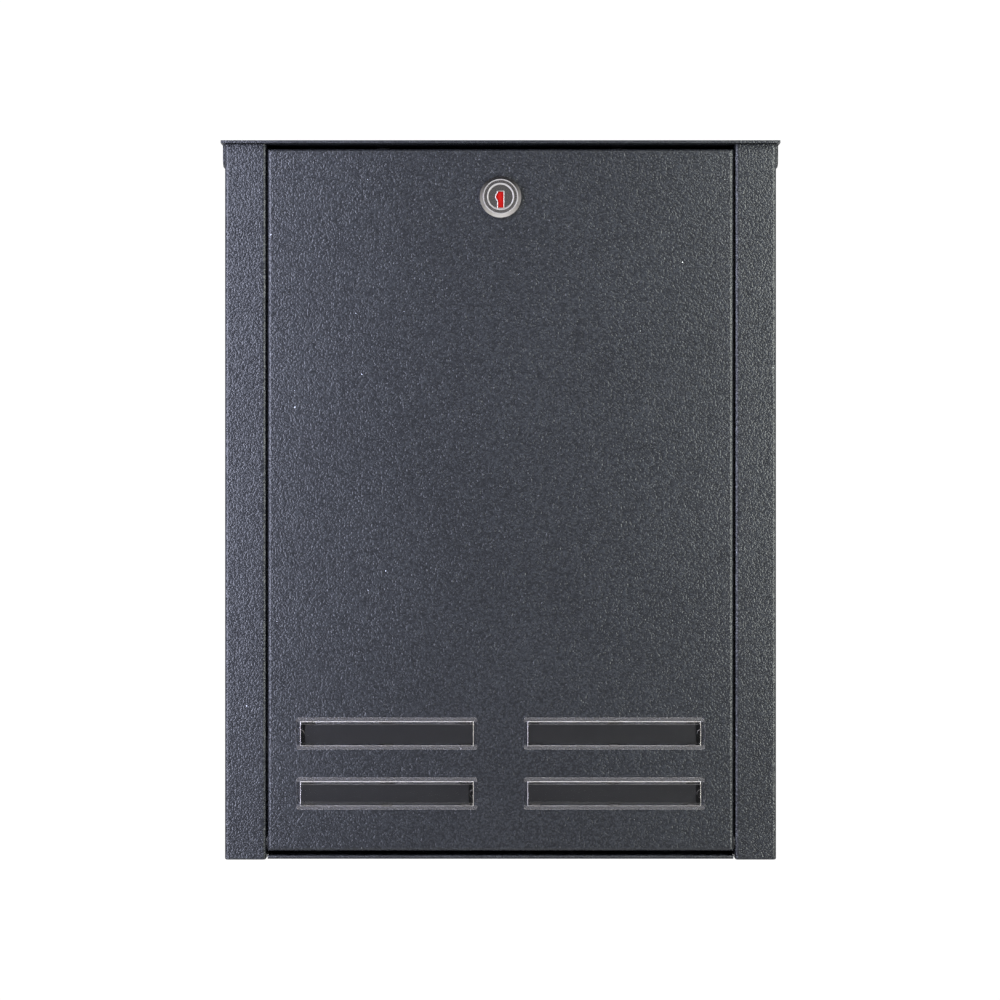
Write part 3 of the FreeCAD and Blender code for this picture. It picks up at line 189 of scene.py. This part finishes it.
def makeNickel(name, rings=(), evenRoughness=None):
    # die cast zinc, polished and nickel plated: a mirror with faint waves of the casting. Each
    # ring is ((inner radius, outer radius), roughness)
    material, tree, shader, place = startMaterial(name, {
        "Base Color": toLinear(nickel["colour"]), "Metallic": 1.0})
    waves = addNode(tree, "ShaderNodeTexNoise", {
        "Scale": grain(nickel["castMm"]), "Detail": 2.0}, {"Vector": place})
    bump = addNode(tree, "ShaderNodeBump", {
        "Strength": 0.5, "Distance": nickel["castReliefMm"] * mm}, {"Height": waves.outputs["Fac"]})
    tree.links.new(bump.outputs[0], shader.inputs["Normal"])
    if evenRoughness is not None:
        shader.inputs["Roughness"].default_value = evenRoughness
        return material
    wipe = addNode(tree, "ShaderNodeTexNoise", {
        "Scale": grain(nickel["wipeMm"]), "Detail": 3.0}, {"Vector": place})
    rough = addNode(tree, "ShaderNodeMapRange", {
        "To Min": nickel["roughness"] * nickel["wipeLeast"],
        "To Max": nickel["roughness"] * nickel["wipeMost"]},
        {"Value": wipe.outputs["Fac"]}).outputs[0]
    for (low, high), roughness in rings:
        mask = ringMask(tree, low, high)
        blend = addNode(tree, "ShaderNodeMix", {"data_type": "FLOAT", 3: roughness}, {0: mask, 2: rough})
        rough = blend.outputs[0]
    tree.links.new(rough, shader.inputs["Roughness"])
    return material


zinc = {
    "duskColour": "#a9acb1",    # bluish where the passivation is thick
    "paleColour": "#c9cbcc",
    "roughnessLeast": 0.24,
    "roughnessMost": 0.416,
    "cloudMm": 1.6,             # passivation clouds
    "rollMm": 0.12,             # drawing lines along the stock
    "rollReliefMm": 0.01,
}


def makeZinc():
    # turned and stamped steel, zinc plated and clear passivated: soft grey shine with clouds
    material, tree, shader, place = startMaterial("zincPlatedSteel", {"Metallic": 1.0})
    clouds = addNode(tree, "ShaderNodeTexNoise", {
        "Scale": grain(zinc["cloudMm"]), "Detail": 3.0}, {"Vector": place})
    tint = addNode(tree, "ShaderNodeValToRGB", {}, {"Fac": clouds.outputs["Fac"]})
    tint.color_ramp.elements[0].color = toLinear(zinc["duskColour"])
    tint.color_ramp.elements[1].color = toLinear(zinc["paleColour"])
    tree.links.new(tint.outputs["Color"], shader.inputs["Base Color"])
    rough = addNode(tree, "ShaderNodeMapRange", {
        "To Min": zinc["roughnessLeast"], "To Max": zinc["roughnessMost"]},
        {"Value": clouds.outputs["Fac"]})
    tree.links.new(rough.outputs[0], shader.inputs["Roughness"])
    lines = addNode(tree, "ShaderNodeTexNoise", {
        "Scale": grain(zinc["rollMm"]), "Detail": 1.0}, {"Vector": place})
    bump = addNode(tree, "ShaderNodeBump", {
        "Strength": 0.25, "Distance": zinc["rollReliefMm"] * mm}, {"Height": lines.outputs["Fac"]})
    tree.links.new(bump.outputs[0], shader.inputs["Normal"])
    return material


brass = {
    "colour": "#c9a254",
    "roughness": 0.3,
    "shearMm": 0.3,             # lines left by the punch
    "shearReliefMm": 0.02,
}


def makeBrass():
    # stamped brass tumblers: warm metal with shear lines from the punch
    material, tree, shader, place = startMaterial("stampedBrass", {
        "Metallic": 1.0, "Roughness": brass["roughness"], "Base Color": toLinear(brass["colour"])})
    shear = addNode(tree, "ShaderNodeTexNoise", {
        "Scale": grain(brass["shearMm"]), "Detail": 2.0}, {"Vector": place})
    bump = addNode(tree, "ShaderNodeBump", {
        "Strength": 0.3, "Distance": brass["shearReliefMm"] * mm}, {"Height": shear.outputs["Fac"]})
    tree.links.new(bump.outputs[0], shader.inputs["Normal"])
    return material


clear = {
    "colour": "#e4e4e6",
    "edgeHighlightColour": "#dcd6d3",  # edges painted lighter, a painted highlight of the light they gather from inside the sheet
    "edgeRoughness": 0.25,
    "roughness": 0.02,
    "ior": 1.59,
    "shadowColour": (0.93, 0.93, 0.94, 1),  # what is left of a lamp's light behind it
    "flowMm": 7,              # faint flow marks
    "sinkMm": 0.02,
    "edgeHighlightShare": 0.9,
    "flatFrom": 0.97,         # how squarely a surface faces front or back to count as the sheet's
    "edgeFrom": 0.7,          # and as its edge
    "rimFrom": 0.36,          # share of the height, from the middle, where the window ends
    "rimFade": 0.01,
    "rimShare": 0.09,         # the rim's back is spark eroded, so it looks a little milky
    "hooksFrom": 0.52,        # share of the depth, behind which there are only hooks
    "standOffMm": 0.04,       # the moulding is that much smaller than its nominal size all round
}


def makeClearPlastic():
    # injection moulded clear polystyrene: glassy faces, edges painted lighter as a painted highlight,
    # and so thin that lamps light what is behind it
    material, tree, shader, place = startMaterial("clearPolystyrene", {
        "Base Color": toLinear(clear["colour"]), "IOR": clear["ior"], "Transmission Weight": 1.0,
        "Roughness": clear["roughness"]})
    flow = addNode(tree, "ShaderNodeTexNoise", {
        "Scale": grain(clear["flowMm"]), "Detail": 2.0}, {"Vector": place})
    bump = addNode(tree, "ShaderNodeBump", {"Strength": 0.1, "Distance": clear["sinkMm"] * mm},
                   {"Height": flow.outputs["Fac"]})
    tree.links.new(bump.outputs[0], shader.inputs["Normal"])
    # a lighter opaque shader: on the edges it is a painted highlight, on the rim a milky back
    edgeHighlightAndMilkyRim = addNode(tree, "ShaderNodeBsdfPrincipled", {
        "Base Color": toLinear(clear["edgeHighlightColour"]), "Roughness": clear["edgeRoughness"],
        "IOR": clear["ior"]})
    own = addNode(tree, "ShaderNodeTexCoord")
    along = addNode(tree, "ShaderNodeSeparateXYZ", {}, {"Vector": own.outputs["Normal"]})
    flat = addNode(tree, "ShaderNodeMath", {"operation": "ABSOLUTE"}, {0: along.outputs["Y"]})
    # surfaces that face neither front nor back get the painted highlight
    edge = addNode(tree, "ShaderNodeMapRange", {
        "From Min": clear["flatFrom"], "From Max": clear["edgeFrom"],
        "To Min": 0.0, "To Max": clear["edgeHighlightShare"]}, {"Value": flat.outputs[0]})
    part = addNode(tree, "ShaderNodeSeparateXYZ", {}, {"Vector": own.outputs["Generated"]})
    across = addNode(tree, "ShaderNodeMath", {"operation": "SUBTRACT", 1: 0.5}, {0: part.outputs["Z"]})
    fromMiddle = addNode(tree, "ShaderNodeMath", {"operation": "ABSOLUTE"}, {0: across.outputs[0]})
    rim = addNode(tree, "ShaderNodeMapRange", {
        "From Min": clear["rimFrom"], "From Max": clear["rimFrom"] + clear["rimFade"],
        "To Min": 0.0, "To Max": clear["rimShare"]}, {"Value": fromMiddle.outputs[0]})
    either = addNode(tree, "ShaderNodeMath", {"operation": "MAXIMUM"},
                     {0: edge.outputs[0], 1: rim.outputs[0]})
    front = addNode(tree, "ShaderNodeMath", {"operation": "LESS_THAN", 1: clear["hooksFrom"]},
                    {0: part.outputs["Y"]})
    share = addNode(tree, "ShaderNodeMath", {"operation": "MULTIPLY"},
                    {0: either.outputs[0], 1: front.outputs[0]})
    body = addNode(tree, "ShaderNodeMixShader", {}, {
        0: share.outputs[0], 1: shader.outputs[0], 2: edgeHighlightAndMilkyRim.outputs[0]})
    ray = addNode(tree, "ShaderNodeLightPath")
    seeThrough = addNode(tree, "ShaderNodeBsdfTransparent", {"Color": clear["shadowColour"]})
    lampsPass = addNode(tree, "ShaderNodeMixShader", {}, {
        0: ray.outputs["Is Shadow Ray"], 1: body.outputs[0], 2: seeThrough.outputs[0]})
    tree.links.new(lampsPass.outputs[0], tree.nodes["Material Output"].inputs["Surface"])
    return material


plastics = {
    "black": {"colour": "#121112", "roughness": 0.42, "grainMm": 0.5, "reliefMm": 0.03},
    "nylon": {"colour": "#232324", "roughness": 0.5, "grainMm": 0.8, "reliefMm": 0.02},
    "rubber": {"colour": "#1f1f20", "roughness": 0.8, "grainMm": 0.4, "reliefMm": 0.05},
    "red": {"colour": "#a3130f", "roughness": 0.25, "grainMm": 1.3, "reliefMm": 0.5},
}
plasticGlossSpread = 0.2  # how much of the roughness comes and goes over the skin


def makePlastic(name, look):
    # moulded piece: spark eroded grain on the skin, with its gloss varying a little
    material, tree, shader, place = startMaterial(name, {
        "Base Color": toLinear(look["colour"]), "IOR": 1.5})
    skin = addNode(tree, "ShaderNodeTexNoise", {
        "Scale": grain(look["grainMm"]), "Detail": 3.0}, {"Vector": place})
    bump = addNode(tree, "ShaderNodeBump", {"Strength": 0.5, "Distance": look["reliefMm"] * mm},
                   {"Height": skin.outputs["Fac"]})
    tree.links.new(bump.outputs[0], shader.inputs["Normal"])
    rough = addNode(tree, "ShaderNodeMapRange", {
        "To Min": look["roughness"] * (1 - plasticGlossSpread),
        "To Max": look["roughness"] * (1 + plasticGlossSpread)},
        {"Value": skin.outputs["Fac"]})
    tree.links.new(rough.outputs[0], shader.inputs["Roughness"])
    return material


finishes = {
    "powder_coat": makePowderCoat(),
    "nickel_plate": makeNickel("nickelPlatedZinc"),
    "zinc_plate": makeZinc(),
    "brass": makeBrass(),
    "clear_plastic": makeClearPlastic(),
    "black_plastic": makePlastic("blackMouldedAbs", plastics["black"]),
    "nylon": makePlastic("blackNylon", plastics["nylon"]),
    "rubber": makePlastic("blackRubber", plastics["rubber"]),
    "red_plastic": makePlastic("redMouldedAcetal", plastics["red"]),
}
slotOf = {part["node"]: part["material_slot"] for part in frame["record"]["subparts"]}
finishOf = {
    "lock_housing": makeNickel("nickelPlatedHousing", (
        (nickel["trackRing"], nickel["trackRoughness"]),
        (nickel["bezelBead"], nickel["satinRoughness"]))),
    "lock_plug": makeNickel("nickelPlatedPlug", (
        (nickel["plugFace"], nickel["faceRoughness"]),
        (nickel["plugRim"], nickel["satinRoughness"]))),
}
print("materials made:", len(finishes) + len(finishOf))


edges = {
    "smoothUnder": 32,      # degrees: bends shade round, folds and cuts stay crisp
    "roundOver": 50,        # degrees: edges sharper than that are rounded
    "roundSteps": 2,
    "flatFaceWeight": 80,   # per cent: how much wide faces keep their shading flat
    "coatedEdgeMm": 0.22,   # the powder rounds every cut edge
    "clearEdgeMm": 0.5,
    "castEdgeMm": 0.27,
    "coatedNodes": ["lid_panel", "bottom_panel", "rear_top_panel"],
    "castNodes": ["lock_housing", "lock_plug"],
    "clearNodes": ["name_cover_upper_left", "name_cover_upper_right",
                   "name_cover_lower_left", "name_cover_lower_right"],
}


def roundEdges(piece, width):
    bevel = piece.modifiers.new("roundedEdges", "BEVEL")
    bevel.width = width
    bevel.segments = edges["roundSteps"]
    bevel.limit_method = "ANGLE"
    bevel.angle_limit = math.radians(edges["roundOver"])


def standOff(piece):
    # keeps two faces that lie on each other from being at the very same place
    shrink = piece.modifiers.new("mouldShrinkage", "DISPLACE")
    shrink.direction = "NORMAL"
    shrink.mid_level = 0
    shrink.strength = -clear["standOffMm"] * mm


def dressNodes():
    for name, piece in nodes.items():
        piece.data.materials.clear()
        piece.data.materials.append(finishOf.get(name, finishes[slotOf[name]]))
        piece.data.shade_smooth()
        piece.data.set_sharp_from_angle(angle=math.radians(edges["smoothUnder"]))
        if name in edges["coatedNodes"]:
            roundEdges(piece, edges["coatedEdgeMm"] * mm)
        if name in edges["castNodes"]:
            roundEdges(piece, edges["castEdgeMm"] * mm)
        if name in edges["clearNodes"]:
            standOff(piece)
            roundEdges(piece, edges["clearEdgeMm"] * mm)
        weighted = piece.modifiers.new("flatStaysFlat", "WEIGHTED_NORMAL")
        weighted.keep_sharp = True
        weighted.weight = edges["flatFaceWeight"]


dressNodes()
print("nodes dressed")


keyway = {
    "leftMm": 1.5,       # the mouth's sides, from the plug's axis
    "rightMm": 1.7,
    "upMm": 2.9,
    "downMm": 6.3,
    "bulgeMm": 2.6,      # radius of the round side
    "faceDownMm": 0.35,  # the plug's face lies that deep behind its rim
    "beadMm": 0.4,       # width of the turned over edge round the mouth
    "proudMm": 0.2,      # how far its crest stands out of the face
    "shoulder": 0.15,    # where it is nearly as high, as a share of the width from either side
    "shoulderMm": 0.16,
    "sunkMm": 0.05,      # its foot lies that deep in the face
    "cornerSteps": 4,
    "bulgeSteps": 14,
}


def mouthOutline(grow):
    # the keyway's mouth, every side moved out by grow, with the corners rounded by as much
    left, right = -keyway["leftMm"], keyway["rightMm"]
    up, down, bulge = keyway["upMm"], -keyway["downMm"], keyway["bulgeMm"]
    points = []
    corners = ((left, up, 180), (right, up, 90), (right, down, 0), (left, down, -90))
    for x, z, start in corners:
        for step in range(keyway["cornerSteps"] + 1):
            turn = math.radians(start - 90 * step / keyway["cornerSteps"])
            points.append((x + grow * math.cos(turn), z + grow * math.sin(turn)))
    low = math.acos((left - grow) / (bulge + grow))
    for step in range(keyway["bulgeSteps"] + 1):
        turn = -low - (2 * math.pi - 2 * low) * step / keyway["bulgeSteps"]
        points.append(((bulge + grow) * math.cos(turn), (bulge + grow) * math.sin(turn)))
    return points


def addKeywayBead():
    # the edge of the keyway's mouth, turned over and polished by keys
    low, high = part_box("lock_plug")
    middleX, middleZ = (low.x + high.x) / 2, (low.z + high.z) / 2
    face = low.y + keyway["faceDownMm"] * mm
    width, shoulder = keyway["beadMm"], keyway["beadMm"] * keyway["shoulder"]
    # each ring is how far it lies outside the mouth and how far it stands out of the face
    rings = ((0, -keyway["sunkMm"]), (shoulder, keyway["shoulderMm"]),
             (width / 2, keyway["proudMm"]), (width - shoulder, keyway["shoulderMm"]),
             (width, -keyway["sunkMm"]))
    points = []
    for grow, out in rings:
        points += [(middleX + x * mm, face - out * mm, middleZ + z * mm)
                   for x, z in mouthOutline(grow)]
    count = len(points) // len(rings)
    faces = [(ring * count + i, ring * count + (i + 1) % count,
              (ring + 1) * count + (i + 1) % count, (ring + 1) * count + i)
             for ring in range(len(rings) - 1) for i in range(count)]
    faces += [(i, (len(rings) - 1) * count + i, (len(rings) - 1) * count + (i + 1) % count,
               (i + 1) % count) for i in range(count)]
    mesh = bpy.data.meshes.new("keywayBead")
    mesh.from_pydata(points, [], faces)
    mesh.shade_smooth()
    mesh.materials.append(makeNickel("nickelPlatedBead", evenRoughness=nickel["satinRoughness"]))
    bead = bpy.data.objects.new("keywayBead", mesh)
    bpy.context.scene.collection.objects.link(bead)
    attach(bead, "lock_rotor")


addKeywayBead()
print("keyway edge added")


studio = {
    "floorDropM": 0.55,     # under the box, which hangs
    "floorRadiusM": 2.2,
    "floorSides": 96,
    "floorColours": ("#f1f1ef", "#f4f4f2"),
    "floorRollerMm": 3,     # the paint roller's marks
    "floorRoughness": 0.85,
    # places in metres, powers in watts, and whether glossy surfaces mirror the box. The left and
    # right ones stand upright beside the door's face, so that light rakes across it
    "boxes": {
        "leftBox": {"place": (-0.37, -0.44, 0.12), "aim": (-0.1, -0.14, 0.08),
                    "size": (0.18, 0.8), "power": 6.2, "tint": "#d9ddf6", "mirrored": True},
        "rightBox": {"place": (0.39, -0.44, 0.15), "aim": (0.1, -0.14, 0.1),
                     "size": (0.18, 0.8), "power": 4.4, "tint": "#f3f8f0", "mirrored": True},
        "topBox": {"place": (0.0, -1.3, 1.3), "aim": (0, -0.14, 0),
                   "size": (0.9, 0.5), "power": 4, "tint": "#ffffff", "mirrored": True},
        "ceilingBox": {"place": (0.0, 0.1, 2.0), "aim": (0, 0.1, 0),
                       "size": (1.8, 1.5), "power": 50, "tint": "#ffffff", "mirrored": False},
    },
}


def addSoftBox(name, look):
    light = bpy.data.lights.new(name, "AREA")
    light.shape = "RECTANGLE"
    light.size, light.size_y = look["size"]
    light.energy = look["power"]
    light.color = toLinear(look["tint"])[:3]
    box = bpy.data.objects.new(name, light)
    bpy.context.scene.collection.objects.link(box)
    box.location = look["place"]
    box.visible_glossy = look["mirrored"]
    box.rotation_euler = (Vector(look["aim"]) - box.location).to_track_quat("-Z", "Y").to_euler()


def addFloor():
    mesh = bpy.data.meshes.new("studioFloor")
    count = studio["floorSides"]
    rim = [(studio["floorRadiusM"] * math.cos(2 * math.pi * i / count),
            studio["floorRadiusM"] * math.sin(2 * math.pi * i / count), 0) for i in range(count)]
    mesh.from_pydata(rim, [], [list(range(count))])
    floor = bpy.data.objects.new("studioFloor", mesh)
    bpy.context.scene.collection.objects.link(floor)
    floor.location = (0, 0, cadBox[0].z - studio["floorDropM"])
    # matt emulsion put on with a roller, which leaves the tone a little uneven
    material, tree, shader, place = startMaterial("paintedStudioFloor", {
        "Roughness": studio["floorRoughness"]})
    roller = addNode(tree, "ShaderNodeTexNoise", {
        "Scale": grain(studio["floorRollerMm"]), "Detail": 2.0}, {"Vector": place})
    tone = addNode(tree, "ShaderNodeValToRGB", {}, {"Fac": roller.outputs["Fac"]})
    for i, colour in enumerate(studio["floorColours"]):
        tone.color_ramp.elements[i].color = toLinear(colour)
    tree.links.new(tone.outputs["Color"], shader.inputs["Base Color"])
    mesh.materials.append(material)


room = {
    "paper": 1.05,           # brightness of the backdrop
    "sides": 0.5,            # brightness of what the box reflects
    "behindCamera": 0.12,
    "darkFrom": 0.92,        # how squarely a direction points to the camera's side to be darkest
    "ceilingShare": 0.15,    # brightness overhead, as a share of the level one
    "dimFrom": -0.1,         # heights of a direction between which it dims
    "dimTo": 0.8,
    "tint": (0.97, 0.98, 1, 1),
}


def lightRoom():
    # white paper for the camera. What the box reflects is a room that is light to the sides and
    # below, dimmer above and dark on the camera's side
    world = bpy.data.worlds.new("studioRoom")
    bpy.context.scene.world = world
    world.use_nodes = True
    tree = world.node_tree
    tree.nodes.clear()
    paper = addNode(tree, "ShaderNodeBackground", {"Color": (1, 1, 1, 1), "Strength": room["paper"]})
    place = addNode(tree, "ShaderNodeTexCoord")
    toward = addNode(tree, "ShaderNodeSeparateXYZ", {}, {"Vector": place.outputs["Generated"]})
    forward = addNode(tree, "ShaderNodeMapRange", {
        "From Min": -room["darkFrom"], "From Max": 0.0,
        "To Min": room["behindCamera"], "To Max": room["sides"]}, {"Value": toward.outputs["Y"]})
    upward = addNode(tree, "ShaderNodeMapRange", {
        "From Min": room["dimFrom"], "From Max": room["dimTo"],
        "To Min": 1.0, "To Max": room["ceilingShare"]}, {"Value": toward.outputs["Z"]})
    level = addNode(tree, "ShaderNodeMath", {"operation": "MULTIPLY"},
                    {0: forward.outputs[0], 1: upward.outputs[0]})
    walls = addNode(tree, "ShaderNodeBackground", {"Color": room["tint"]},
                    {"Strength": level.outputs[0]})
    ray = addNode(tree, "ShaderNodeLightPath")
    mix = addNode(tree, "ShaderNodeMixShader", {}, {
        0: ray.outputs["Is Camera Ray"], 1: walls.outputs[0], 2: paper.outputs[0]})
    addNode(tree, "ShaderNodeOutputWorld", {}, {"Surface": mix.outputs[0]})


view = {
    "distanceM": 1.6,        # from the door's face
    "sensorMm": 36,
    "fieldM": 0.5619,        # width of the frame at the door's face
    "aim": (-0.0003, 0.0012),  # metres to the right and up
    "clipFromM": 0.05,
    "clipToM": 50,
}


def addCamera():
    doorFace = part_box("door_panel")[0].y
    camera = bpy.data.cameras.new("camera")
    camera.sensor_width = view["sensorMm"]
    camera.lens = view["sensorMm"] * view["distanceM"] / view["fieldM"]
    camera.clip_start = view["clipFromM"]
    camera.clip_end = view["clipToM"]
    seat = bpy.data.objects.new("camera", camera)
    bpy.context.scene.collection.objects.link(seat)
    seat.location = (view["aim"][0], doorFace - view["distanceM"], view["aim"][1])
    seat.rotation_euler = (math.radians(90), 0, 0)
    bpy.context.scene.camera = seat


addFloor()
lightRoom()
for boxName, boxLook in studio["boxes"].items():
    addSoftBox(boxName, boxLook)
addCamera()
bpy.context.scene.view_settings.view_transform = "Standard"
print("studio lit")
